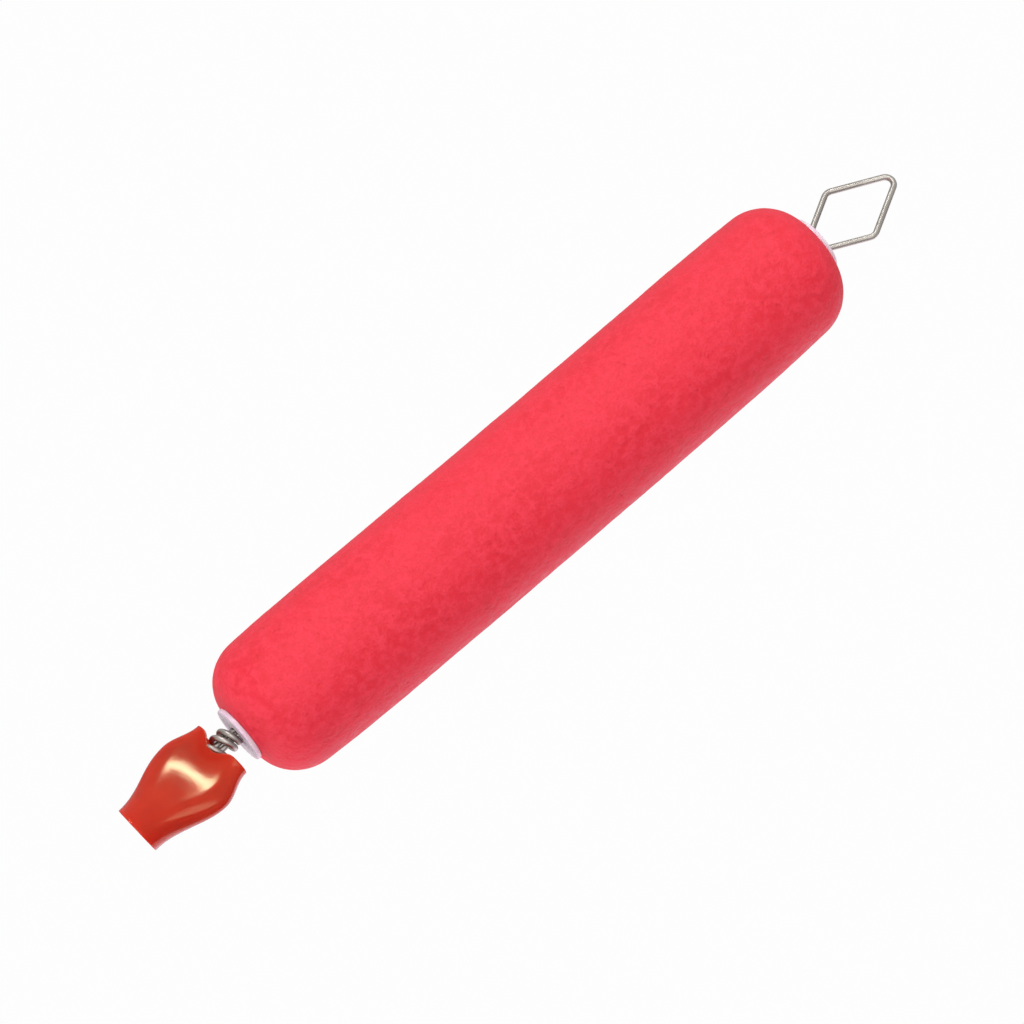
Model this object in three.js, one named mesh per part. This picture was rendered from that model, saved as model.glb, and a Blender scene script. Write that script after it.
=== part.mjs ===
// A through-wire foam fishing float. All lengths are in millimetres, +Z runs along the float.
//
// One stainless wire is bent double. Its middle is a diamond line loop above the float, its two
// strands run side by side down the float's core, and one of them ends in an oval eye that is
// wrapped back around both strands. A foam body turns and slides a little on the wire, between the
// loop's legs and the wraps, on a plastic bushing at each end and a loose core tube between them.
// A soft sleeve is stretched over the eye.
//
// The origin is the inner side of the loop's peak, where a line or a hook bears.

import * as THREE from 'three';

// Foam body
const FOAM_LENGTH = 95.25;
const FOAM_RADIUS = 9.525;
const FOAM_BORE_RADIUS = 2.7;
const END_FLAT_RADIUS = 3.5;
const END_ROUNDING = 6;
const END_TAPER_LENGTH = 20;
const END_TAPER = 0.5;

// Bushings and core tube
const FIT_GAP = 0.1;
const FLANGE_RADIUS = 3.85;
const FLANGE_THICKNESS = 0.55;
const FLANGE_EDGE = 0.15;
const BARREL_RADIUS = FOAM_BORE_RADIUS - FIT_GAP;
const BARREL_LENGTH = 6;
const BUSHING_BORE_RADIUS = 1.35;
const MOUTH_RADIUS = 2.5;
const MOUTH_DEPTH = 1.95;
const PLAIN_MOUTH_RADIUS = 1.5;
const PLAIN_MOUTH_DEPTH = 0.2;
const TUBE_OUTER_RADIUS = 2.3;
const TUBE_BORE_RADIUS = 1.6;

// Wire and its diamond loop, whose corners are measured before they are rounded
const WIRE_RADIUS = 0.4;
const WIRE_SIDES = 8;
const STRAND_OFFSET = 0.45;
const LOOP_HALF_WIDTH = 4.54;
const LOOP_CORNER_HEIGHT = 5.8;
const LOOP_PEAK_HEIGHT = 14.16;
const LOOP_START_DEPTH = 2.49;
const LOOP_PEAK_BEND = 1.15;
const LOOP_CORNER_BEND = 1.2;
const LOOP_START_BEND = 1.5;

// Lower end of the wire, measured down from the lower bushing's face along its own leaning axis
const LEAN_ANGLE = THREE.MathUtils.degToRad(3.2);
const STRAND_BEND_HEIGHT = 1.6;
const STRAND_SWAY_DEPTH = 0.6;
const COIL_SIDE_SHIFT = -0.5;
const COIL_RADIUS = 1.35;
const COIL_TOP_DEPTH = 0.7;
const TIGHT_PITCH = 0.85;
const TIGHT_TURNS = 1;
const OPEN_PITCH = 1.6;
const OPEN_TURNS = 1.39;
const COIL_TILT = 0.18;
const COIL_STEPS_PER_TURN = 16;
const SHORT_STRAND_DEPTH = 3.25;
const LONG_STRAND_DEPTH = 2.7;
const EYE_HALF_WIDTH = 4.6;
const EYE_HALF_HEIGHT = 4.15;
const EYE_CENTRE_DEPTH = 7.8;
const EYE_SIDE_SHIFT = 0.12;
const EYE_START_ANGLE = THREE.MathUtils.degToRad(24);
const EYE_END_ANGLE = THREE.MathUtils.degToRad(322);
const EYE_STEPS = 28;
const NECK_REACH = 0.9;
const NECK_STEPS = 7;

// Sleeve, measured down from its upper rim
const SLEEVE_TOP_DEPTH = 2.5;
const SLEEVE_LENGTH = 14.45;
const SLEEVE_WALL = 0.5;
const SLEEVE_BULGE_DEPTH = 4.86;
const SLEEVE_HALF_WIDTHS = { rim: 4.26, bulge: 5.66, end: 3.28 };
const SLEEVE_HALF_DEPTHS = { rim: 2.5, bulge: 2.1, end: 3.2 };
const SLEEVE_STEPS = 15;
const SLEEVE_SIDES = 40;

// Places on the float's axis that follow from the sizes above
const peakHalfAngle = Math.atan2(LOOP_HALF_WIDTH, LOOP_PEAK_HEIGHT - LOOP_CORNER_HEIGHT);
const peakRounding = LOOP_PEAK_BEND * (1 / Math.sin(peakHalfAngle) - 1);
const topFaceZ = WIRE_RADIUS - (LOOP_PEAK_HEIGHT - peakRounding);
const foamTopZ = topFaceZ - FLANGE_THICKNESS - FIT_GAP;
const foamBottomZ = foamTopZ - FOAM_LENGTH;
const bottomFaceZ = foamBottomZ - FIT_GAP - FLANGE_THICKNESS;

const foamMaterial = new THREE.MeshStandardMaterial({ color: 0xf24a58, roughness: 0.85, metalness: 0 });
const plasticMaterial = new THREE.MeshStandardMaterial({ color: 0xf1ecf1, roughness: 0.35, metalness: 0 });
const wireMaterial = new THREE.MeshStandardMaterial({ color: 0xa9a49d, roughness: 0.25, metalness: 1 });
const sleeveMaterial = new THREE.MeshStandardMaterial({ color: 0xd2351c, roughness: 0.3, metalness: 0 });

/** A closed profile of [radius, height] points turned about the Z axis. */
function turned(profile, segments) {
  const points = [...profile, profile[0]].map(([radius, height]) => new THREE.Vector2(radius, height));
  return new THREE.LatheGeometry(points, segments).rotateX(Math.PI / 2);
}

/** Eases from one size to another, level at both ends, as the fraction goes from 0 to 1. */
function eased(from, to, fraction) {
  return from + (to - from) * Math.sin(fraction * Math.PI / 2) ** 2;
}

// ---- Foam body ----

/** Foam radius at a distance from the nearer end: an elliptical shoulder under a faint long taper. */
function foamRadius(distance) {
  const taper = Math.max(0, 1 - distance / END_TAPER_LENGTH);
  const side = FOAM_RADIUS - END_TAPER * taper ** 2;
  const inset = Math.max(0, 1 - distance / END_ROUNDING);
  return END_FLAT_RADIUS + (side - END_FLAT_RADIUS) * Math.sqrt(1 - inset ** 2);
}

function makeFoamBody() {
  const shoulderSteps = 9;
  const taperSteps = 5;
  const distances = [0];
  for (let i = 1; i <= shoulderSteps; i++) {
    distances.push(END_ROUNDING * (1 - Math.cos(i / shoulderSteps * Math.PI / 2)));
  }
  for (let i = 1; i <= taperSteps; i++) {
    distances.push(END_ROUNDING + (END_TAPER_LENGTH - END_ROUNDING) * i / taperSteps);
  }
  const lowerHalf = distances.map((distance) => [foamRadius(distance), distance]);
  const upperHalf = lowerHalf.map(([radius, height]) => [radius, FOAM_LENGTH - height]).reverse();
  const profile = [[FOAM_BORE_RADIUS, 0], ...lowerHalf, ...upperHalf, [FOAM_BORE_RADIUS, FOAM_LENGTH]];
  const mesh = new THREE.Mesh(turned(profile, 48), foamMaterial);
  mesh.position.z = foamBottomZ;
  return mesh;
}

// ---- Bushings and core tube ----

/** A flanged bushing with its outer face at height 0 and its barrel below it. */
function bushingGeometry(mouthRadius, mouthDepth) {
  const edge = FLANGE_RADIUS - FLANGE_EDGE;
  const profile = [
    [BUSHING_BORE_RADIUS, -mouthDepth],
    [BUSHING_BORE_RADIUS, -BARREL_LENGTH],
    [BARREL_RADIUS, -BARREL_LENGTH],
    [BARREL_RADIUS, -FLANGE_THICKNESS],
    [FLANGE_RADIUS, -FLANGE_THICKNESS],
    [FLANGE_RADIUS, -FLANGE_EDGE],
    [edge + FLANGE_EDGE * Math.SQRT1_2, -FLANGE_EDGE * (1 - Math.SQRT1_2)],
    [edge, 0],
    [mouthRadius, 0],
  ];
  return turned(profile, 32);
}

/** The loop's legs meet inside this one, so its bore opens in a wide cone. */
function makeTopBushing() {
  const mesh = new THREE.Mesh(bushingGeometry(MOUTH_RADIUS, MOUTH_DEPTH), plasticMaterial);
  mesh.position.z = topFaceZ;
  return mesh;
}

/** This one rests on the wire's wraps, so its bore is plain but for a broken edge. */
function makeBottomBushing() {
  const mesh = new THREE.Mesh(bushingGeometry(PLAIN_MOUTH_RADIUS, PLAIN_MOUTH_DEPTH), plasticMaterial);
  mesh.rotation.x = Math.PI;
  mesh.position.z = bottomFaceZ;
  return mesh;
}

function makeCoreTube() {
  const endGap = 3 * FIT_GAP;
  const bottom = bottomFaceZ + BARREL_LENGTH + endGap;
  const length = topFaceZ - BARREL_LENGTH - endGap - bottom;
  const profile = [
    [TUBE_BORE_RADIUS, 0],
    [TUBE_OUTER_RADIUS, 0],
    [TUBE_OUTER_RADIUS, length],
    [TUBE_BORE_RADIUS, length],
  ];
  const mesh = new THREE.Mesh(turned(profile, 32), plasticMaterial);
  mesh.position.z = bottom;
  return mesh;
}

// ---- Wire ----

/** A path given by its own stations, so that an extrusion has one section at each of them. */
class StationPath extends THREE.Curve {
  constructor(stations) {
    super();
    this.stations = stations;
  }

  indexAt(fraction) {
    return Math.round(fraction * (this.stations.length - 1));
  }

  getPoint(fraction, target = new THREE.Vector3()) {
    return target.copy(this.stations[this.indexAt(fraction)]);
  }

  getPointAt(fraction, target) {
    return this.getPoint(fraction, target);
  }

  getTangentAt(fraction, target = new THREE.Vector3()) {
    const index = this.indexAt(fraction);
    const before = this.stations[Math.max(index - 1, 0)];
    const after = this.stations[Math.min(index + 1, this.stations.length - 1)];
    const arriving = this.stations[index].clone().sub(before).normalize();
    const leaving = after.clone().sub(this.stations[index]).normalize();
    return target.copy(arriving).add(leaving).normalize();
  }
}

/** Stations around the corner at `corner`, bent to a radius, between its neighbouring corners. */
function bendStations(before, corner, after, radius, steps) {
  const back = before.clone().sub(corner).normalize();
  const onward = after.clone().sub(corner).normalize();
  const halfAngle = back.angleTo(onward) / 2;
  const centre = back.clone().add(onward).normalize().multiplyScalar(radius / Math.sin(halfAngle)).add(corner);
  const start = back.clone().multiplyScalar(radius / Math.tan(halfAngle)).add(corner).sub(centre);
  const axis = new THREE.Vector3().crossVectors(onward, back).normalize();
  const turn = Math.PI - 2 * halfAngle;
  return Array.from({ length: steps + 1 }, (_, i) => (
    start.clone().applyAxisAngle(axis, turn * i / steps).add(centre)
  ));
}

/** The diamond loop in the XZ plane, from the short strand's side to the long strand's side. */
function loopStations() {
  const slope = LOOP_HALF_WIDTH / (LOOP_CORNER_HEIGHT + LOOP_START_DEPTH);
  const legStart = STRAND_OFFSET / slope - LOOP_START_DEPTH;
  const corner = (x, height) => new THREE.Vector3(x, 0, topFaceZ + height);
  const corners = [
    corner(-STRAND_OFFSET, -BARREL_LENGTH),
    corner(-STRAND_OFFSET, legStart),
    corner(-LOOP_HALF_WIDTH, LOOP_CORNER_HEIGHT),
    corner(0, LOOP_PEAK_HEIGHT),
    corner(LOOP_HALF_WIDTH, LOOP_CORNER_HEIGHT),
    corner(STRAND_OFFSET, legStart),
    corner(STRAND_OFFSET, -BARREL_LENGTH),
  ];
  const radii = [LOOP_START_BEND, LOOP_CORNER_BEND, LOOP_PEAK_BEND, LOOP_CORNER_BEND, LOOP_START_BEND];
  const steps = [4, 7, 9, 7, 4];
  return radii.flatMap((radius, i) => (
    bendStations(corners[i], corners[i + 1], corners[i + 2], radius, steps[i])
  ));
}

/** A point below the lower face, on the leaning axis. */
function below(x, y, depth) {
  const point = new THREE.Vector3(x, y, -depth);
  point.applyAxisAngle(new THREE.Vector3(0, 1, 0), -LEAN_ANGLE);
  point.z += bottomFaceZ;
  return point;
}

/** A point on the oval eye, by its angle from the top, and the direction the wire takes there. */
function eyePoint(angle) {
  const x = EYE_HALF_WIDTH * Math.sin(angle);
  const depth = EYE_CENTRE_DEPTH - EYE_HALF_HEIGHT * Math.cos(angle);
  const shift = EYE_SIDE_SHIFT * Math.sin(angle / 2) ** 2;
  return new THREE.Vector3(x + shift, 0, depth);
}

function eyeDirection(angle) {
  const direction = new THREE.Vector3(EYE_HALF_WIDTH * Math.cos(angle), 0, EYE_HALF_HEIGHT * Math.sin(angle));
  return direction.normalize();
}

/** A point on the tilted wraps, as x, y and depth, by the turns wound on from the cut end at the top. */
function coilPoint(turns) {
  const angle = -2 * Math.PI * turns;
  const x = COIL_RADIUS * Math.cos(angle);
  const y = COIL_RADIUS * Math.sin(angle);
  const tightTurns = Math.min(turns, TIGHT_TURNS);
  const depth = COIL_TOP_DEPTH + tightTurns * TIGHT_PITCH + (turns - tightTurns) * OPEN_PITCH;
  return new THREE.Vector3(x + COIL_SIDE_SHIFT, y, depth - x * COIL_TILT);
}

/** Stations of a smooth neck between two points with given directions, without its ends. */
function neckStations(from, fromDirection, to, toDirection) {
  const leaving = fromDirection.clone().multiplyScalar(NECK_REACH).add(from);
  const arriving = toDirection.clone().multiplyScalar(-NECK_REACH).add(to);
  const neck = new THREE.CubicBezierCurve3(from, leaving, arriving, to);
  return neck.getPoints(NECK_STEPS).slice(1, -1);
}

/** The lower end of the long strand: down into the eye, round it, and up the wraps. */
function lowerStations() {
  const strandEnd = new THREE.Vector3(STRAND_OFFSET + COIL_SIDE_SHIFT, 0, LONG_STRAND_DEPTH);
  const eye = [];
  for (let i = 0; i <= EYE_STEPS; i++) {
    eye.push(eyePoint(THREE.MathUtils.lerp(EYE_START_ANGLE, EYE_END_ANGLE, i / EYE_STEPS)));
  }
  const turns = TIGHT_TURNS + OPEN_TURNS;
  const coilSteps = Math.round(turns * COIL_STEPS_PER_TURN);
  const coil = [];
  for (let i = 0; i <= coilSteps; i++) {
    coil.push(coilPoint(turns * (1 - i / coilSteps)));
  }
  const down = new THREE.Vector3(0, 0, 1);
  const coilDirection = coil[1].clone().sub(coil[0]).normalize();
  const route = [
    strandEnd,
    ...neckStations(strandEnd, down, eye[0], eyeDirection(EYE_START_ANGLE)),
    ...eye,
    ...neckStations(eye[EYE_STEPS], eyeDirection(EYE_END_ANGLE), coil[0], coilDirection),
    ...coil,
  ];
  return route.map(({ x, y, z }) => below(x, y, z));
}

function makeThroughWire() {
  const strandBend = (x) => new THREE.Vector3(x, 0, bottomFaceZ + STRAND_BEND_HEIGHT);
  const stations = [
    below(COIL_SIDE_SHIFT - STRAND_OFFSET, 0, SHORT_STRAND_DEPTH),
    below(COIL_SIDE_SHIFT - STRAND_OFFSET, 0, STRAND_SWAY_DEPTH),
    strandBend(-STRAND_OFFSET),
    ...loopStations(),
    strandBend(STRAND_OFFSET),
    below(COIL_SIDE_SHIFT + STRAND_OFFSET, 0, STRAND_SWAY_DEPTH),
    ...lowerStations(),
  ];
  const section = new THREE.Shape();
  for (let i = 0; i < WIRE_SIDES; i++) {
    const angle = 2 * Math.PI * (i + 0.5) / WIRE_SIDES;
    const corner = [WIRE_RADIUS * Math.cos(angle), WIRE_RADIUS * Math.sin(angle)];
    if (i === 0) {
      section.moveTo(...corner);
    } else {
      section.lineTo(...corner);
    }
  }
  section.closePath();
  const path = new StationPath(stations);
  const steps = stations.length - 1;
  const geometry = new THREE.ExtrudeGeometry(section, { steps, extrudePath: path, bevelEnabled: false });
  return new THREE.Mesh(geometry, wireMaterial);
}

// ---- Sleeve ----

/** A size along the sleeve, which eases from its rim to the bulge over the eye and on to its end. */
function sleeveSize(sizes, depth) {
  if (depth < SLEEVE_BULGE_DEPTH) {
    return eased(sizes.rim, sizes.bulge, depth / SLEEVE_BULGE_DEPTH);
  }
  return eased(sizes.bulge, sizes.end, (depth - SLEEVE_BULGE_DEPTH) / (SLEEVE_LENGTH - SLEEVE_BULGE_DEPTH));
}

/** A round tube, flattened section by section where the wide, thin eye stretches it. */
function makeLineSleeve() {
  const roundRadius = SLEEVE_HALF_WIDTHS.end;
  const depths = Array.from({ length: SLEEVE_STEPS + 1 }, (_, i) => SLEEVE_LENGTH * i / SLEEVE_STEPS);
  const outside = depths.map((depth) => [roundRadius, -depth]);
  const inside = depths.map((depth) => [roundRadius - SLEEVE_WALL, -depth]);
  const geometry = turned([...outside.reverse(), ...inside], SLEEVE_SIDES);
  const position = geometry.attributes.position;
  for (let i = 0; i < position.count; i++) {
    const depth = -position.getZ(i);
    const angle = Math.atan2(position.getY(i), position.getX(i));
    const inset = roundRadius - Math.hypot(position.getX(i), position.getY(i));
    const halfWidth = sleeveSize(SLEEVE_HALF_WIDTHS, depth) - inset;
    const halfDepth = sleeveSize(SLEEVE_HALF_DEPTHS, depth) - inset;
    const shift = sleeveSize({ rim: 0, bulge: EYE_SIDE_SHIFT, end: 0 }, depth);
    position.setX(i, halfWidth * Math.cos(angle) + shift);
    position.setY(i, halfDepth * Math.sin(angle));
  }
  const mesh = new THREE.Mesh(geometry, sleeveMaterial);
  mesh.position.z = -SLEEVE_TOP_DEPTH;
  return mesh;
}

// ---- Assembly ----

function named(name, mesh) {
  mesh.name = name;
  return mesh;
}

const lowerEnd = new THREE.Group();
lowerEnd.position.z = bottomFaceZ;
lowerEnd.rotation.y = -LEAN_ANGLE;
lowerEnd.add(named('line_sleeve', makeLineSleeve()));

const bobberFloat = new THREE.Group();
bobberFloat.add(
  named('through_wire', makeThroughWire()),
  named('foam_body', makeFoamBody()),
  named('top_bushing', makeTopBushing()),
  named('bottom_bushing', makeBottomBushing()),
  named('core_tube', makeCoreTube()),
  lowerEnd,
);

export default bobberFloat;
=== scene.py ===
"""Looks of the bobber float: a foam body on a doubled through-wire, with a line loop and a sleeved eye.

Sizes below are in millimetres, and every mesh is scaled to metres when it is made. +Z runs along
the float, and the origin is the inner side of the line loop's peak.
"""

import math

import bpy
from mathutils import Matrix, Quaternion, Vector, noise


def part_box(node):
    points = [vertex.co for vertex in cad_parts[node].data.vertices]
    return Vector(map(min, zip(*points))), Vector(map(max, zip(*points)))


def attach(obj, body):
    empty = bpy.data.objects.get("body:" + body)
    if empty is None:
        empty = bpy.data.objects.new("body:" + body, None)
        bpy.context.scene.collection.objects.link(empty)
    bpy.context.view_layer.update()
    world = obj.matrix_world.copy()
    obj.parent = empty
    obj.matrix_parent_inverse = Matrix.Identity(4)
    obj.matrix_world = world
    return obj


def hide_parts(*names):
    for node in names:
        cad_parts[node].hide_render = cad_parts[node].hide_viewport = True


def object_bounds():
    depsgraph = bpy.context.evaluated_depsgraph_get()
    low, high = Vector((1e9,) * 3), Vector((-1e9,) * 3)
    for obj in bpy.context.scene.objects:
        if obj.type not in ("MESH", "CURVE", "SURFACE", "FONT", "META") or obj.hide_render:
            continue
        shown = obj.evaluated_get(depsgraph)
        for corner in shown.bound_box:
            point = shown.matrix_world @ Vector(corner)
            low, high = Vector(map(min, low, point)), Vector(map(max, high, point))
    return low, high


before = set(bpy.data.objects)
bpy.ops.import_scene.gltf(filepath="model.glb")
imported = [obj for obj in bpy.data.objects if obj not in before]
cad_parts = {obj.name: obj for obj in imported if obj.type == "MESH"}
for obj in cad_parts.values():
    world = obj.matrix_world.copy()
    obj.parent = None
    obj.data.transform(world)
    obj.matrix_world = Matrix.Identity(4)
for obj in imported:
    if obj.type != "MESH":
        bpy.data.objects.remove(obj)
cad_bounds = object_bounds()

MM = 0.001

# ---- Sizes that are the same in the CAD ----

FOAM_BORE_RADIUS = 2.7
END_FLAT_RADIUS = 3.5
END_ROUNDING = 6.0
END_TAPER_LENGTH = 20.0
END_TAPER = 0.5

FLANGE_RADIUS = 3.85
BARREL_RADIUS = 2.6
BARREL_LENGTH = 6.0
BUSHING_BORE_RADIUS = 1.35
TOP_MOUTH = (2.5, 1.95)
BOTTOM_MOUTH = (1.5, 0.2)
TUBE_OUTER_RADIUS = 2.3
TUBE_BORE_RADIUS = 1.6

WIRE_RADIUS = 0.4
STRAND_OFFSET = 0.45
LOOP_HALF_WIDTH = 4.54
LOOP_CORNER_HEIGHT = 5.8
LOOP_PEAK_HEIGHT = 14.16
LOOP_START_DEPTH = 2.49
LOOP_PEAK_BEND = 1.15
LOOP_CORNER_BEND = 1.2
LOOP_START_BEND = 1.5

LEAN_ANGLE = math.radians(3.2)
STRAND_SWAY_DEPTH = 0.6
COIL_SIDE_SHIFT = -0.5
COIL_RADIUS = 1.35
COIL_TOP_DEPTH = 0.7
TIGHT_PITCH = 0.85
TIGHT_TURNS = 1.0
OPEN_PITCH = 1.6
OPEN_TURNS = 1.39
COIL_TILT = 0.18
SHORT_STRAND_DEPTH = 3.25
LONG_STRAND_DEPTH = 2.7
EYE_HALF_WIDTH = 4.6
EYE_HALF_HEIGHT = 4.15
EYE_CENTRE_DEPTH = 7.8
EYE_SIDE_SHIFT = 0.12
EYE_START_ANGLE = math.radians(24)
EYE_END_ANGLE = math.radians(322)
NECK_REACH = 0.9

SLEEVE_TOP_DEPTH = 2.5
SLEEVE_LENGTH = 14.45
SLEEVE_WALL = 0.5
SLEEVE_BULGE_DEPTH = 4.86
SLEEVE_HALF_WIDTHS = (4.26, 5.66, 3.28)

# ---- Sizes of the finer shapes, and how finely they are drawn ----

FOAM_SIDES = 180
FOAM_RING_STEP = 0.34
FOAM_SHOULDER_RINGS = 26
FOAM_BORE_RINGS = 24
FOAM_BOW = 0.37
PEEL_DEPTH = 0.022
PEEL_CELLS_PER_MM = 0.85
FINE_PEEL_CELLS_PER_MM = 1.9
DENT_DEPTH = 0.05
DENT_CELLS_PER_MM = 0.16
RELIEF_CALM_RADIUS = 4.3

BUSHING_SIDES = 96
SEAT_GAP = 0.02
FLANGE_EDGE = 0.18
SOFT_EDGE = 0.08
BARREL_END_TAPER = 0.25
BARREL_END_TAPER_LENGTH = 0.5
TUBE_SIDES = 72
TUBE_SPANS = 40
TUBE_CHAMFER = 0.12

WIRE_SIDES = 24
WIRE_LONGEST_STEP = 0.6
CUT_END_CHAMFER = 0.07
STRAND_BEND_HEIGHT = 2.4
LOOP_BEND_STEPS = (12, 22, 28, 22, 12)
NECK_STEPS = 16
EYE_STEPS = 90
COIL_STEPS_PER_TURN = 40

SLEEVE_RINGS = 84
SLEEVE_SIDES = 128
SLEEVE_LIP_STEPS = 6
LIP_CRISPNESS = 0.35
WAIST_DEPTH = 3.1
WAIST_SLANT = 0.2
WAIST_HALF_DEPTH = 1.6
WAIST_FLARES = {"rim": (0.45, 6.5), "end": (0.26, 6.5)}
WAIST_FLATNESS = {"left": 4.2, "right": 2.8}
WAIST_REACH = 5.5
END_CUT_SLANT = 0.14
END_CUT_DIRECTION = math.radians(26)
RIM_DIP_CENTRE = -0.25
RIM_DIP_HALF_WIDTH = 1.65
RIM_DIP_DEPTHS = {"near": 1.35, "far": 0.9}

# ---- Places that follow from the frame ----

foam_low, foam_high = (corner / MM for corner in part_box("foam_body"))
foam_bottom, foam_top = foam_low.z, foam_high.z
foam_radius_full = foam_high.x
foam_length = foam_top - foam_bottom
top_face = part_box("top_bushing")[1].z / MM
bottom_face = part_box("bottom_bushing")[0].z / MM
tube_bottom, tube_top = (corner.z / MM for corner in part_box("core_tube"))


# ---- Mesh helpers ----

def make_mesh(name, points, faces, material, uvs=None):
    """A smooth-shaded object from points in millimetres and faces of point indices."""
    mesh = bpy.data.meshes.new(name)
    mesh.from_pydata([point * MM for point in points], [], faces)
    mesh.validate()
    mesh.shade_smooth()
    mesh.materials.append(material)
    if uvs:
        layer = mesh.uv_layers.new(name="UVMap")
        for loop in mesh.loops:
            layer.data[loop.index].uv = uvs[loop.vertex_index]
    piece = bpy.data.objects.new(name, mesh)
    bpy.context.scene.collection.objects.link(piece)
    return piece


def ring_faces(rings, sides, closed):
    """Quads between neighbouring rings of points; closed joins the last ring to the first."""
    faces = []
    for ring in range(rings if closed else rings - 1):
        here, there = ring * sides, (ring + 1) % rings * sides
        for side in range(sides):
            onward = (side + 1) % sides
            faces.append((here + side, here + onward, there + onward, there + side))
    return faces


def turned(profile, sides):
    """Points and faces of a closed profile of (radius, height) pairs turned about the Z axis."""
    points = []
    for radius, height in profile:
        for side in range(sides):
            angle = 2 * math.pi * side / sides
            points.append(Vector((radius * math.cos(angle), radius * math.sin(angle), height)))
    return points, ring_faces(len(profile), sides, closed=True)


def arc(centre_radius, centre_height, size, start, end, steps):
    """Profile points of a rounded edge, by angles in degrees from the outward radius."""
    points = []
    for step in range(steps + 1):
        angle = math.radians(start + (end - start) * step / steps)
        points.append((centre_radius + size * math.cos(angle), centre_height + size * math.sin(angle)))
    return points


def eased(fraction):
    """From 0 to 1, level at both ends."""
    return math.sin(min(max(fraction, 0.0), 1.0) * math.pi / 2) ** 2


# ---- Material helpers ----

class Look:
    """A node material around one Principled surface."""

    def __init__(self, name, **settings):
        self.material = bpy.data.materials.new(name)
        self.material.use_nodes = True
        self.tree = self.material.node_tree
        self.surface = self.tree.nodes["Principled BSDF"]
        for socket, value in settings.items():
            self.surface.inputs[socket.replace("_", " ")].default_value = value

    def node(self, kind, inputs=None, **settings):
        """Adds a node. Inputs are named or numbered, each with a value or another node's output."""
        made = self.tree.nodes.new("ShaderNode" + kind)
        for name, value in settings.items():
            setattr(made, name, value)
        for socket, value in (inputs or {}).items():
            if isinstance(value, bpy.types.NodeSocket):
                self.tree.links.new(value, made.inputs[socket])
            else:
                made.inputs[socket].default_value = value
        return made

    def feed(self, socket, output):
        self.tree.links.new(output, self.surface.inputs[socket])

    def place(self, coordinates="Object", stretch=(1, 1, 1)):
        """Coordinates on the piece, in metres, stretched along its axes."""
        source = self.node("TexCoord").outputs[coordinates]
        return self.node("Mapping", {"Vector": source, "Scale": stretch}).outputs["Vector"]

    def noise(self, where, cells_per_metre, detail=2.0, roughness=0.5):
        """Soft noise around 0.5."""
        inputs = {"Vector": where, "Scale": cells_per_metre, "Detail": detail, "Roughness": roughness}
        return self.node("TexNoise", inputs).outputs["Fac"]

    def ramp(self, factor, low, high, from_value=0.0, to_value=1.0):
        """The factor from low to high, spread from one value to another."""
        inputs = {
            "Value": factor, "From Min": low, "From Max": high,
            "To Min": from_value, "To Max": to_value,
        }
        return self.node("MapRange", inputs, interpolation_type="SMOOTHSTEP").outputs["Result"]

    def mix(self, factor, first, second):
        """A colour between two colours."""
        made = self.node("Mix", {0: factor, 6: first, 7: second}, data_type="RGBA")
        return made.outputs[2]

    def combine(self, operation, first, second):
        return self.node("Math", {0: first, 1: second}, operation=operation).outputs[0]

    def bump(self, height, depth, strength=1.0, normal=None):
        """Dents of a depth in millimetres."""
        inputs = {"Height": height, "Distance": depth * MM, "Strength": strength}
        if normal:
            inputs["Normal"] = normal
        return self.node("Bump", inputs).outputs["Normal"]


# ---- Materials ----

def foam_look():
    """Closed-cell foam with a moulded skin: matte, softly mottled, with fine pores."""
    look = Look("foam_skin", IOR=1.45)
    where = look.place()
    clouds = look.noise(where, 110, detail=2.0)
    mottle = look.noise(where, 850, detail=3.0, roughness=0.6)
    grain = look.noise(where, 3000, detail=2.0, roughness=0.6)
    pore_cells = look.node("TexVoronoi", {"Vector": where, "Scale": 1100.0}, feature="F1")
    pores = look.ramp(pore_cells.outputs["Distance"], 0.08, 0.36, 1.0, 0.0)
    chosen = look.ramp(look.noise(where, 380, detail=1.0), 0.55, 0.64)
    pores = look.combine("MULTIPLY", pores, chosen)

    base = look.mix(look.ramp(clouds, 0.38, 0.62), (0.83, 0.013, 0.036, 1), (0.875, 0.019, 0.045, 1))
    base = look.mix(look.ramp(mottle, 0.37, 0.65), base, (0.92, 0.036, 0.069, 1))
    base = look.mix(look.ramp(grain, 0.50, 0.66, 0.0, 0.5), base, (0.82, 0.010, 0.033, 1))
    # The pores are dented and also painted darker: painted shade inside the pits.
    base = look.mix(look.combine("MULTIPLY", pores, 0.4), base, (0.66, 0.008, 0.024, 1))
    look.feed("Base Color", base)
    look.feed("Roughness", look.ramp(mottle, 0.36, 0.64, 0.5, 0.66))
    peel = look.bump(mottle, 0.22, strength=1.0)
    fine = look.bump(grain, 0.06, strength=1.0, normal=peel)
    look.feed("Normal", look.bump(look.combine("SUBTRACT", 1.0, pores), 0.05, strength=0.8, normal=fine))
    return look.material


def plastic_look(name, colour, cloud_tone_and_painted_shade):
    """Moulded plastic with faint clouds of a second tone and handling marks. On the white plastic both
    colours carry a lilac-pink cast that is painted shade and painted red bounce from the foam, and its
    cloud tone is painted shade.
    """
    look = Look(name, IOR=1.49, Subsurface_Weight=0.25, Subsurface_Scale=0.0012)
    look.surface.inputs["Subsurface Radius"].default_value = (1.0, 0.6, 0.8)
    where = look.place()
    clouds = look.noise(where, 500, detail=3.0)
    marks = look.noise(look.place(stretch=(1, 1, 6)), 1800, detail=4.0, roughness=0.6)
    # Clouds blend the colour into the second tone; on the white plastic that tone is painted shade.
    base = look.mix(look.ramp(clouds, 0.35, 0.65), colour, cloud_tone_and_painted_shade)
    look.feed("Base Color", base)
    look.feed("Roughness", look.ramp(marks, 0.35, 0.7, 0.22, 0.42))
    look.feed("Normal", look.bump(marks, 0.006, strength=0.5))
    return look.material


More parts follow.
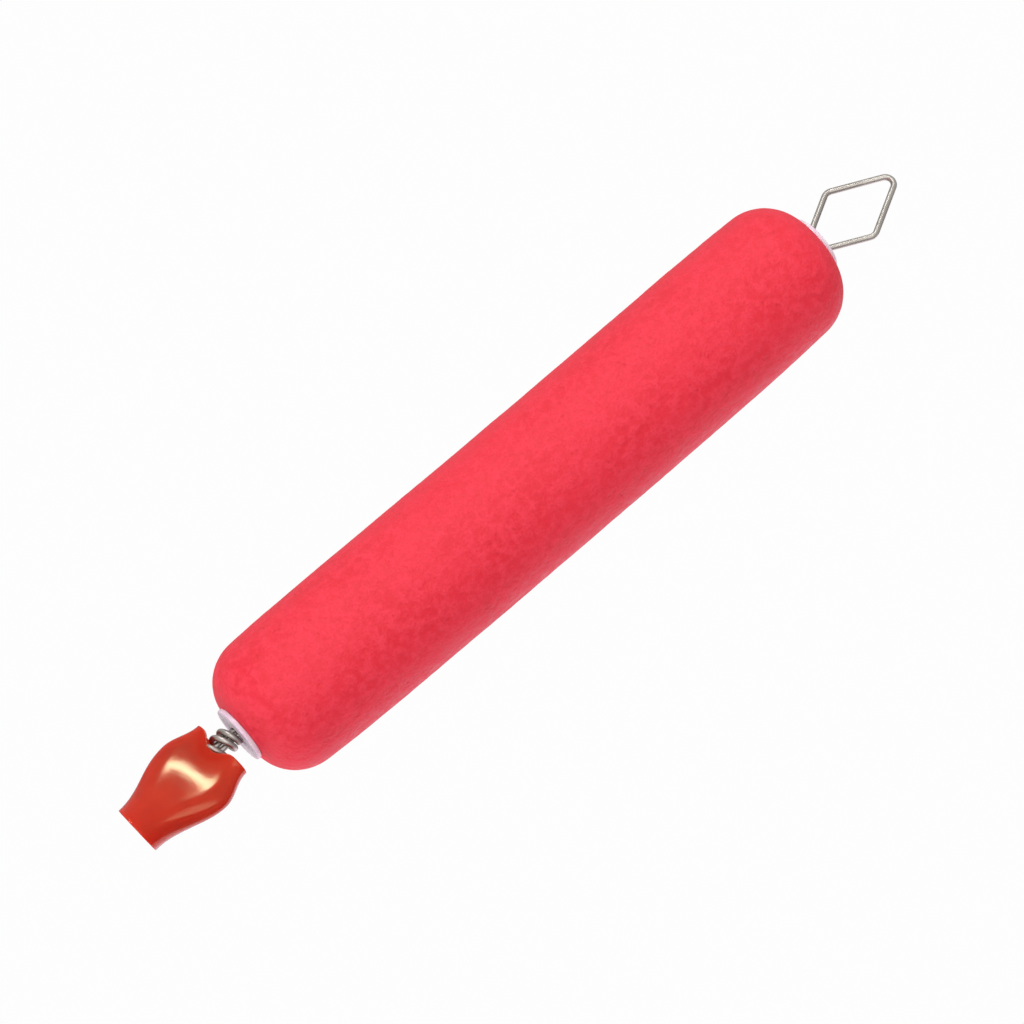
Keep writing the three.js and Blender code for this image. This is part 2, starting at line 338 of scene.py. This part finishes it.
def steel_look():
    """Drawn stainless wire: soft draw streaks along it, with a few duller patches."""
    look = Look("drawn_steel", Metallic=1.0)
    lines = look.noise(look.place("UV", stretch=(0.08, 2.5, 1)), 1.0, detail=0.0)
    patches = look.noise(look.place("UV", stretch=(0.2, 1, 1)), 1.0, detail=1.0)
    base = look.mix(look.ramp(patches, 0.35, 0.65), (0.40, 0.37, 0.335, 1), (0.50, 0.47, 0.43, 1))
    base = look.mix(look.ramp(lines, 0.5, 0.75, 0.0, 0.3), base, (0.27, 0.245, 0.22, 1))
    look.feed("Base Color", base)
    line_gloss = look.ramp(lines, 0.3, 0.7, 0.35, 0.40)
    patch_gloss = look.ramp(patches, 0.4, 0.7, 0.0, 0.04)
    look.feed("Roughness", look.combine("ADD", line_gloss, patch_gloss))
    return look.material


def sleeve_look():
    """Soft translucent tubing: wet-looking, with faint waves along it."""
    look = Look("soft_tubing", IOR=1.48, Subsurface_Weight=0.85, Subsurface_Scale=0.0022)
    look.surface.inputs["Subsurface Radius"].default_value = (1.0, 0.22, 0.06)
    look.surface.inputs["Specular Tint"].default_value = (1.0, 1.0, 0.58, 1)
    look.surface.inputs["Transmission Weight"].default_value = 0.15
    where = look.place()
    clouds = look.noise(where, 160, detail=3.0)
    specks = look.noise(where, 2400, detail=2.0)
    base = look.mix(look.ramp(clouds, 0.35, 0.65), (0.55, 0.006, 0.002, 1), (0.66, 0.012, 0.003, 1))
    base = look.mix(look.ramp(specks, 0.6, 0.78, 0.0, 0.12), base, (0.50, 0.01, 0.003, 1))
    look.feed("Base Color", base)
    look.feed("Roughness", look.ramp(specks, 0.35, 0.7, 0.10, 0.14))
    waves = look.noise(look.place(stretch=(1, 1, 0.35)), 700, detail=2.0)
    look.feed("Normal", look.bump(waves, 0.012, strength=0.4))
    return look.material


def floor_look():
    """A plain pale studio floor."""
    look = Look("studio_floor", Roughness=0.9)
    clouds = look.noise(look.place(), 3.0)
    look.feed("Base Color", look.mix(clouds, (0.80, 0.80, 0.80, 1), (0.82, 0.82, 0.82, 1)))
    look.surface.inputs["Emission Color"].default_value = (1, 1, 1, 1)
    seen = look.node("LightPath").outputs["Is Camera Ray"]
    look.feed("Emission Strength", look.combine("MULTIPLY", seen, 0.52))
    return look.material


# ---- Foam body ----

def foam_radius(distance):
    """Foam radius at a distance from the nearer end: an elliptical shoulder under a faint long taper."""
    taper = max(0.0, 1 - distance / END_TAPER_LENGTH)
    side = foam_radius_full - END_TAPER * taper ** 2
    inset = max(0.0, 1 - distance / END_ROUNDING)
    return END_FLAT_RADIUS + (side - END_FLAT_RADIUS) * math.sqrt(1 - inset ** 2)


def foam_relief(point):
    """Shallow orange peel and long soft dents, in millimetres."""
    peel = noise.noise(point * PEEL_CELLS_PER_MM) + 0.5 * noise.noise(point * FINE_PEEL_CELLS_PER_MM)
    dents = noise.noise(point * DENT_CELLS_PER_MM)
    return PEEL_DEPTH * peel + DENT_DEPTH * dents


def make_foam(material):
    """The foam skin with its bore: rounded ends, shallow relief and a faint bow towards +X."""
    shoulder = [
        END_ROUNDING * (1 - math.cos(step / FOAM_SHOULDER_RINGS * math.pi / 2))
        for step in range(FOAM_SHOULDER_RINGS + 1)
    ]
    middle_rings = round((foam_length - 2 * END_ROUNDING) / FOAM_RING_STEP)
    middle_step = (foam_length - 2 * END_ROUNDING) / middle_rings
    heights = shoulder + [END_ROUNDING + middle_step * ring for ring in range(1, middle_rings)]
    heights += [foam_length - distance for distance in reversed(shoulder)]
    profile = [(FOAM_BORE_RADIUS, 0.0)]
    profile += [(foam_radius(min(height, foam_length - height)), height) for height in heights]
    profile.append((FOAM_BORE_RADIUS, foam_length))
    for ring in range(1, FOAM_BORE_RINGS):
        profile.append((FOAM_BORE_RADIUS, foam_length * (1 - ring / FOAM_BORE_RINGS)))
    points, faces = turned(profile, FOAM_SIDES)
    shaped = []
    for point in points:
        radius = math.hypot(point.x, point.y)
        outward = Vector((point.x, point.y, 0)) / radius
        calm = eased((radius - END_FLAT_RADIUS) / (RELIEF_CALM_RADIUS - END_FLAT_RADIUS))
        along = 2 * point.z / foam_length - 1
        point.z += foam_bottom
        bow = FOAM_BOW * (1 - along ** 2)
        shaped.append(point + outward * foam_relief(point) * calm + Vector((bow, 0, 0)))
    return make_mesh("foam_skin", shaped, faces, material)


# ---- Bushings and core tube ----

def make_bushing(name, face, upward, mouth, thickness, material):
    """A flanged bushing with its outer face at a height, facing up or down."""
    mouth_radius, mouth_depth = mouth
    soft = SOFT_EDGE
    profile = [
        (BUSHING_BORE_RADIUS, -mouth_depth),
        (BUSHING_BORE_RADIUS, -BARREL_LENGTH + soft),
        (BUSHING_BORE_RADIUS + soft, -BARREL_LENGTH),
        (BARREL_RADIUS - BARREL_END_TAPER, -BARREL_LENGTH),
        (BARREL_RADIUS, -BARREL_LENGTH + BARREL_END_TAPER_LENGTH),
        (BARREL_RADIUS, -thickness - soft),
        (BARREL_RADIUS + soft, -thickness),
    ]
    profile += arc(FLANGE_RADIUS - soft, -thickness + soft, soft, -90, 0, steps=3)
    profile += arc(FLANGE_RADIUS - FLANGE_EDGE, -FLANGE_EDGE, FLANGE_EDGE, 0, 90, steps=7)
    profile += [
        (mouth_radius + 2 * soft, 0.0),
        (mouth_radius + 0.3 * soft, -0.3 * soft),
        (mouth_radius - 0.3 * soft, -1.2 * soft),
    ]
    points, faces = turned(profile, BUSHING_SIDES)
    for point in points:
        if not upward:
            point.y, point.z = -point.y, -point.z
        point.z += face
    return make_mesh(name, points, faces, material)


def make_core_tube(material):
    """A plain tube between the two barrels, chamfered at both ends."""
    low, high = tube_bottom, tube_top
    profile = [
        (TUBE_BORE_RADIUS, low + TUBE_CHAMFER),
        (TUBE_BORE_RADIUS + TUBE_CHAMFER, low),
        (TUBE_OUTER_RADIUS - TUBE_CHAMFER, low),
        (TUBE_OUTER_RADIUS, low + TUBE_CHAMFER),
    ]
    for span in range(1, TUBE_SPANS):
        profile.append((TUBE_OUTER_RADIUS, low + (high - low) * span / TUBE_SPANS))
    profile += [
        (TUBE_OUTER_RADIUS, high - TUBE_CHAMFER),
        (TUBE_OUTER_RADIUS - TUBE_CHAMFER, high),
        (TUBE_BORE_RADIUS + TUBE_CHAMFER, high),
        (TUBE_BORE_RADIUS, high - TUBE_CHAMFER),
    ]
    for span in range(1, TUBE_SPANS):
        profile.append((TUBE_BORE_RADIUS, high - (high - low) * span / TUBE_SPANS))
    points, faces = turned(profile, TUBE_SIDES)
    return make_mesh("core_liner", points, faces, material)


# ---- Wire ----

def bend(before, corner, after, radius, steps):
    """Points around a corner bent to a radius, between its neighbouring corners."""
    back, onward = (before - corner).normalized(), (after - corner).normalized()
    half_angle = back.angle(onward) / 2
    centre = corner + (back + onward).normalized() * (radius / math.sin(half_angle))
    start = corner + back * (radius / math.tan(half_angle)) - centre
    axis = onward.cross(back).normalized()
    turn = math.pi - 2 * half_angle
    return [centre + Quaternion(axis, turn * step / steps) @ start for step in range(steps + 1)]


def loop_route():
    """The diamond loop in the XZ plane, from the short strand's side to the long strand's side."""
    slope = LOOP_HALF_WIDTH / (LOOP_CORNER_HEIGHT + LOOP_START_DEPTH)
    leg_start = STRAND_OFFSET / slope - LOOP_START_DEPTH
    corners = [
        Vector((x, 0, top_face + height)) for x, height in (
            (-STRAND_OFFSET, -BARREL_LENGTH),
            (-STRAND_OFFSET, leg_start),
            (-LOOP_HALF_WIDTH, LOOP_CORNER_HEIGHT),
            (0, LOOP_PEAK_HEIGHT),
            (LOOP_HALF_WIDTH, LOOP_CORNER_HEIGHT),
            (STRAND_OFFSET, leg_start),
            (STRAND_OFFSET, -BARREL_LENGTH),
        )
    ]
    radii = (LOOP_START_BEND, LOOP_CORNER_BEND, LOOP_PEAK_BEND, LOOP_CORNER_BEND, LOOP_START_BEND)
    route = []
    for index, (radius, steps) in enumerate(zip(radii, LOOP_BEND_STEPS)):
        route += bend(corners[index], corners[index + 1], corners[index + 2], radius, steps)
    return route


def below(x, y, depth):
    """A point below the lower face, on the leaning axis."""
    return Matrix.Rotation(-LEAN_ANGLE, 3, "Y") @ Vector((x, y, -depth)) + Vector((0, 0, bottom_face))


def eye_point(angle):
    """A point on the oval eye as x, y and depth, by its angle from the top."""
    x = EYE_HALF_WIDTH * math.sin(angle) + EYE_SIDE_SHIFT * math.sin(angle / 2) ** 2
    return Vector((x, 0, EYE_CENTRE_DEPTH - EYE_HALF_HEIGHT * math.cos(angle)))


def eye_direction(angle):
    """The way the wire runs round the eye at an angle."""
    return Vector((EYE_HALF_WIDTH * math.cos(angle), 0, EYE_HALF_HEIGHT * math.sin(angle))).normalized()


def coil_point(turns):
    """A point on the tilted wraps as x, y and depth, by the turns wound on from the cut end at the top."""
    angle = -2 * math.pi * turns
    x, y = COIL_RADIUS * math.cos(angle), COIL_RADIUS * math.sin(angle)
    tight = min(turns, TIGHT_TURNS)
    depth = COIL_TOP_DEPTH + tight * TIGHT_PITCH + (turns - tight) * OPEN_PITCH
    return Vector((x + COIL_SIDE_SHIFT, y, depth - x * COIL_TILT))


def neck(start, start_direction, end, end_direction):
    """Points of a smooth neck between two points with given directions, without its ends."""
    leaving, arriving = start + start_direction * NECK_REACH, end - end_direction * NECK_REACH
    points = []
    for step in range(1, NECK_STEPS):
        t = step / NECK_STEPS
        s = 1 - t
        points.append(start * s ** 3 + leaving * 3 * s * s * t + arriving * 3 * s * t * t + end * t ** 3)
    return points


def lower_route():
    """The lower end of the long strand: down into the eye, round it, and up the wraps."""
    strand_end = Vector((STRAND_OFFSET + COIL_SIDE_SHIFT, 0, LONG_STRAND_DEPTH))
    sweep = EYE_END_ANGLE - EYE_START_ANGLE
    eye = [eye_point(EYE_START_ANGLE + sweep * step / EYE_STEPS) for step in range(EYE_STEPS + 1)]
    turns = TIGHT_TURNS + OPEN_TURNS
    coil_steps = round(turns * COIL_STEPS_PER_TURN)
    coil = [coil_point(turns * (1 - step / coil_steps)) for step in range(coil_steps + 1)]
    eye_end = eye_direction(EYE_END_ANGLE)
    route = [strand_end]
    route += neck(strand_end, Vector((0, 0, 1)), eye[0], eye_direction(EYE_START_ANGLE))
    route += eye
    route += neck(eye[-1], eye_end, coil[0], (coil[1] - coil[0]).normalized())
    route += coil
    return [below(*point) for point in route]


def wire_route():
    """The whole wire, from the short strand's cut end in the wraps to the cut end of the wraps."""
    route = [below(COIL_SIDE_SHIFT - STRAND_OFFSET, 0, SHORT_STRAND_DEPTH)]
    strands = []
    for x in (-STRAND_OFFSET, STRAND_OFFSET):
        start = Vector((x, 0, bottom_face + STRAND_BEND_HEIGHT))
        end = below(x + COIL_SIDE_SHIFT, 0, STRAND_SWAY_DEPTH)
        leaning = (end - below(x + COIL_SIDE_SHIFT, 0, 0)).normalized()
        strands.append([start, *neck(start, Vector((0, 0, -1)), end, leaning), end])
    route += reversed(strands[0])
    route += loop_route()
    route += strands[1]
    route += lower_route()
    spaced = [route[0]]
    for point in route[1:]:
        step = point - spaced[-1]
        count = max(1, math.ceil(step.length / WIRE_LONGEST_STEP))
        start = spaced[-1].copy()
        spaced += [start + step * part / count for part in range(1, count + 1)]
    return spaced


def make_wire(material):
    """A round section swept along the wire, with both cut ends lightly chamfered."""
    route = wire_route()
    first, last = (route[0] - route[1]).normalized(), (route[-1] - route[-2]).normalized()
    route.insert(1, route[0] - first * CUT_END_CHAMFER)
    route.insert(-1, route[-1] - last * CUT_END_CHAMFER)
    radii = [WIRE_RADIUS] * len(route)
    radii[0] = radii[-1] = WIRE_RADIUS - CUT_END_CHAMFER
    tangents = []
    for index in range(len(route)):
        before, after = route[max(index - 1, 0)], route[min(index + 1, len(route) - 1)]
        tangents.append((after - before).normalized())
    across = tangents[0].cross(Vector((0, 1, 0))).normalized()
    points, uvs, length = [], [], 0.0
    for index, (centre, tangent) in enumerate(zip(route, tangents)):
        if index:
            length += (centre - route[index - 1]).length
            across = tangents[index - 1].rotation_difference(tangent) @ across
            across = (across - tangent * across.dot(tangent)).normalized()
        other = tangent.cross(across)
        for side in range(WIRE_SIDES):
            angle = 2 * math.pi * side / WIRE_SIDES
            points.append(centre + (across * math.cos(angle) + other * math.sin(angle)) * radii[index])
            uvs.append((length, abs(2 * side / WIRE_SIDES - 1)))
    faces = ring_faces(len(route), WIRE_SIDES, closed=False)
    last_ring = (len(route) - 1) * WIRE_SIDES
    for start, centre, reach in ((0, route[0], 0.0), (last_ring, route[-1], length)):
        points.append(centre)
        uvs.append((reach, 0.5))
        middle = len(points) - 1
        for side in range(WIRE_SIDES):
            rim = (start + side, start + (side + 1) % WIRE_SIDES)
            faces.append((middle, *(rim if start else reversed(rim))))
    return make_mesh("bent_wire", points, faces, material, uvs)


# ---- Sleeve ----

def past_bulge(depth):
    """From 0 at the bulge over the eye to 1 at the sleeve's lower end."""
    return eased((depth - SLEEVE_BULGE_DEPTH) / (SLEEVE_LENGTH - SLEEVE_BULGE_DEPTH))


def sleeve_half_width(depth):
    """Half the sleeve's width, from its rim to the bulge over the eye and on to its end."""
    rim, bulge, end = SLEEVE_HALF_WIDTHS
    if depth < SLEEVE_BULGE_DEPTH:
        return rim + (bulge - rim) * eased(depth / SLEEVE_BULGE_DEPTH)
    return bulge + (end - bulge) * past_bulge(depth)


def sleeve_point(depth, angle, inset):
    """A point of the sleeve in its own leaning frame: inset is how far it lies inside the outer skin.

    The eye stretches the sleeve flat, so its walls are tight and nearly level across a slanting
    waist, and flare from there towards the round tube. The rim dips on both faces, and the lower
    end is cut slightly aslant.
    """
    half_width = sleeve_half_width(depth)
    share = math.cos(angle)
    past_waist = depth - WAIST_DEPTH + WAIST_SLANT * half_width * share
    slope, softness = WAIST_FLARES["rim" if past_waist < 0 else "end"]
    half_depth = WAIST_HALF_DEPTH + slope * (math.hypot(past_waist, softness) - softness)
    flatness = WAIST_FLATNESS["left" if share < 0 else "right"]
    power = 2 / (2 + (flatness - 2) * math.exp(-(past_waist / WAIST_REACH) ** 2))
    x = (half_width - inset) * math.copysign(abs(share) ** power, share)
    y = (half_depth - inset) * math.copysign(abs(math.sin(angle)) ** power, math.sin(angle))
    off_dip = abs((x - RIM_DIP_CENTRE) / RIM_DIP_HALF_WIDTH)
    dip = RIM_DIP_DEPTHS["near" if y < 0 else "far"] * math.exp(-off_dip ** 3)
    drop = dip * max(0.0, 1 - depth / SLEEVE_BULGE_DEPTH) ** 1.5
    to_long_side = x * math.sin(END_CUT_DIRECTION) - y * math.cos(END_CUT_DIRECTION)
    drop += END_CUT_SLANT * to_long_side * past_bulge(depth)
    shift = EYE_SIDE_SHIFT * eased(1 - abs(depth / SLEEVE_BULGE_DEPTH - 1))
    return Vector((x + shift, y, -(depth + drop)))


def make_sleeve(material):
    """An outer skin, a rounded lower lip, an inner skin and a rounded upper lip, as one closed wall."""
    lip = SLEEVE_WALL / 2
    lip_depth = LIP_CRISPNESS * lip
    skin = [
        lip_depth + (SLEEVE_LENGTH - 2 * lip_depth) * step / SLEEVE_RINGS
        for step in range(SLEEVE_RINGS + 1)
    ]
    lip_angles = [math.pi * step / SLEEVE_LIP_STEPS for step in range(1, SLEEVE_LIP_STEPS)]
    stations = [(depth, 0.0) for depth in skin]
    for angle in lip_angles:
        depth = SLEEVE_LENGTH - lip_depth * (1 - math.sin(angle) ** 0.5)
        stations.append((depth, lip * (1 - math.cos(angle))))
    stations += [(depth, SLEEVE_WALL) for depth in reversed(skin)]
    for angle in lip_angles:
        stations.append((lip_depth * (1 - math.sin(angle) ** 0.5), lip * (1 + math.cos(angle))))
    lean = Matrix.Rotation(-LEAN_ANGLE, 3, "Y")
    points = []
    for depth, inset in stations:
        for side in range(SLEEVE_SIDES):
            local = sleeve_point(depth, 2 * math.pi * side / SLEEVE_SIDES, inset)
            local.z -= SLEEVE_TOP_DEPTH
            points.append(lean @ local + Vector((0, 0, bottom_face)))
    faces = [tuple(reversed(face)) for face in ring_faces(len(stations), SLEEVE_SIDES, closed=True)]
    return make_mesh("soft_sleeve", points, faces, material)


# ---- Assembly ----

foam = make_foam(foam_look())
# The white plastic's lilac-pink cast in both colours is painted shade and painted red bounce from the
# foam.
white_plastic = plastic_look("white_plastic", (0.92, 0.78, 0.87, 1), (0.82, 0.64, 0.78, 1))
liner_plastic = plastic_look("liner_plastic", (0.74, 0.74, 0.76, 1), (0.68, 0.68, 0.70, 1))
flange_thickness = top_face - foam_top - SEAT_GAP
top_bushing = make_bushing("upper_bushing", top_face, True, TOP_MOUTH, flange_thickness, white_plastic)
bottom_bushing = make_bushing(
    "lower_bushing", bottom_face, False, BOTTOM_MOUTH, flange_thickness, white_plastic
)
core_liner = make_core_tube(liner_plastic)
wire = make_wire(steel_look())
sleeve = make_sleeve(sleeve_look())

for piece, body, slot, node in (
    (foam, "float", "foam", "foam_body"),
    (top_bushing, "float", "bushing_plastic", "top_bushing"),
    (bottom_bushing, "float", "bushing_plastic", "bottom_bushing"),
    (core_liner, "liner", "tube_plastic", "core_tube"),
    (wire, "wire", "steel_wire", "through_wire"),
    (sleeve, "sleeve", "sleeve_rubber", "line_sleeve"),
):
    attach(piece, body)
    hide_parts(node)

# ---- Camera ----

CAMERA_AZIMUTH = math.radians(25.65)
CAMERA_ELEVATION = math.radians(-11.85)
CAMERA_ROLL = math.radians(49.59)
CAMERA_DISTANCE = 0.6
CAMERA_LENS = 170.2
AIM_BELOW_CENTRE = 2.205 * MM
AIM_TO_RIGHT = 0.925 * MM

sin_a, cos_a = math.sin(CAMERA_AZIMUTH), math.cos(CAMERA_AZIMUTH)
sin_e, cos_e = math.sin(CAMERA_ELEVATION), math.cos(CAMERA_ELEVATION)
right = Vector((cos_a, sin_a, 0))
up = Vector((-sin_a * sin_e, cos_a * sin_e, cos_e))
back = Vector((sin_a * cos_e, -cos_a * cos_e, sin_e))
picture_right = right * math.cos(CAMERA_ROLL) + up * math.sin(CAMERA_ROLL)
picture_up = up * math.cos(CAMERA_ROLL) - right * math.sin(CAMERA_ROLL)
middle = (cad_bounds[0].z + cad_bounds[1].z) / 2
aim = Vector((0, 0, middle - AIM_BELOW_CENTRE)) + right * AIM_TO_RIGHT

camera_data = bpy.data.cameras.new("camera")
camera_data.lens = CAMERA_LENS
camera_data.sensor_width = 36
camera_data.clip_start, camera_data.clip_end = 0.01, 50
camera = bpy.data.objects.new("camera", camera_data)
bpy.context.scene.collection.objects.link(camera)
turn = Matrix((picture_right, picture_up, back)).transposed().to_4x4()
camera.matrix_world = Matrix.Translation(aim + back * CAMERA_DISTANCE) @ turn
bpy.context.scene.camera = camera

# ---- Studio ----

FLOOR_DROP = 0.45
FLOOR_RADIUS = 9.0
FLOOR_SIDES = 96
BACKDROP_GREY = 0.985
AMBIENT_DARKEST = 0.29
AMBIENT_BRIGHTEST = 0.90


def make_floor():
    """A wide round floor well below the float."""
    centre = Vector((0, 0, cad_bounds[0].z - FLOOR_DROP)) / MM
    points = [centre.copy()]
    for side in range(FLOOR_SIDES):
        angle = 2 * math.pi * side / FLOOR_SIDES
        points.append(centre + Vector((math.cos(angle), math.sin(angle), 0)) * FLOOR_RADIUS / MM)
    faces = [(0, side + 1, (side + 1) % FLOOR_SIDES + 1) for side in range(FLOOR_SIDES)]
    floor = make_mesh("studio_floor", points, faces, floor_look())


def soft_light(name, direction, distance, size, power, colour=(1, 1, 1)):
    """A rectangular area light facing the float, from a direction in picture right, up and back."""
    data = bpy.data.lights.new(name, "AREA")
    data.shape = "RECTANGLE"
    data.size, data.size_y = size
    data.energy = power
    data.color = colour
    light = bpy.data.objects.new(name, data)
    light.visible_camera = False
    bpy.context.scene.collection.objects.link(light)
    x, y, z = direction
    towards = (picture_right * x + picture_up * y + back * z).normalized()
    facing_float = towards.to_track_quat("Z", "Y").to_matrix().to_4x4()
    light.matrix_world = Matrix.Translation(aim + towards * distance) @ facing_float


make_floor()
soft_light("key_strip", (-0.25, 0.79, 0.56), 0.9, (0.38, 0.042), 1.8)
soft_light("front_fill", (0.0, 0.05, 1.0), 1.1, (0.65, 0.65), 2.6)
soft_light("rim_panel", (0.5, -0.55, -0.67), 0.9, (1.0, 1.0), 4.0, (1.0, 0.8, 0.95))
soft_light("under_panel", (-0.74, -0.64, -0.02), 0.42, (0.3, 0.3), 0.5)

# The camera sees a plain pale backdrop, and everything else a softer ambient with one bright side.
world = bpy.data.worlds.new("studio_world")
bpy.context.scene.world = world
world.use_nodes = True
world_tree = world.node_tree
backdrop = world_tree.nodes["Background"]
backdrop.inputs["Color"].default_value = (BACKDROP_GREY, BACKDROP_GREY, BACKDROP_GREY, 1)
backdrop.inputs["Strength"].default_value = 1.0
ambient = world_tree.nodes.new("ShaderNodeBackground")
ambient.inputs["Color"].default_value = (1, 1, 1, 1)
bright_side = (picture_up * 0.7 - picture_right * 0.3 + back * 0.65).normalized()
directions = world_tree.nodes.new("ShaderNodeTexCoord")
facing = world_tree.nodes.new("ShaderNodeVectorMath")
facing.operation = "DOT_PRODUCT"
facing.inputs[1].default_value = bright_side
world_tree.links.new(directions.outputs["Generated"], facing.inputs[0])
spread = world_tree.nodes.new("ShaderNodeMapRange")
spread.interpolation_type = "SMOOTHSTEP"
spread.inputs["From Min"].default_value = -1.0
spread.inputs["From Max"].default_value = 1.0
spread.inputs["To Min"].default_value = AMBIENT_DARKEST
spread.inputs["To Max"].default_value = AMBIENT_BRIGHTEST
world_tree.links.new(facing.outputs["Value"], spread.inputs["Value"])
world_tree.links.new(spread.outputs["Result"], ambient.inputs["Strength"])
light_path = world_tree.nodes.new("ShaderNodeLightPath")
choose = world_tree.nodes.new("ShaderNodeMixShader")
world_tree.links.new(light_path.outputs["Is Camera Ray"], choose.inputs[0])
world_tree.links.new(ambient.outputs[0], choose.inputs[1])
world_tree.links.new(backdrop.outputs[0], choose.inputs[2])
world_tree.links.new(choose.outputs[0], world_tree.nodes["World Output"].inputs["Surface"])

bpy.context.scene.view_settings.view_transform = "Standard"
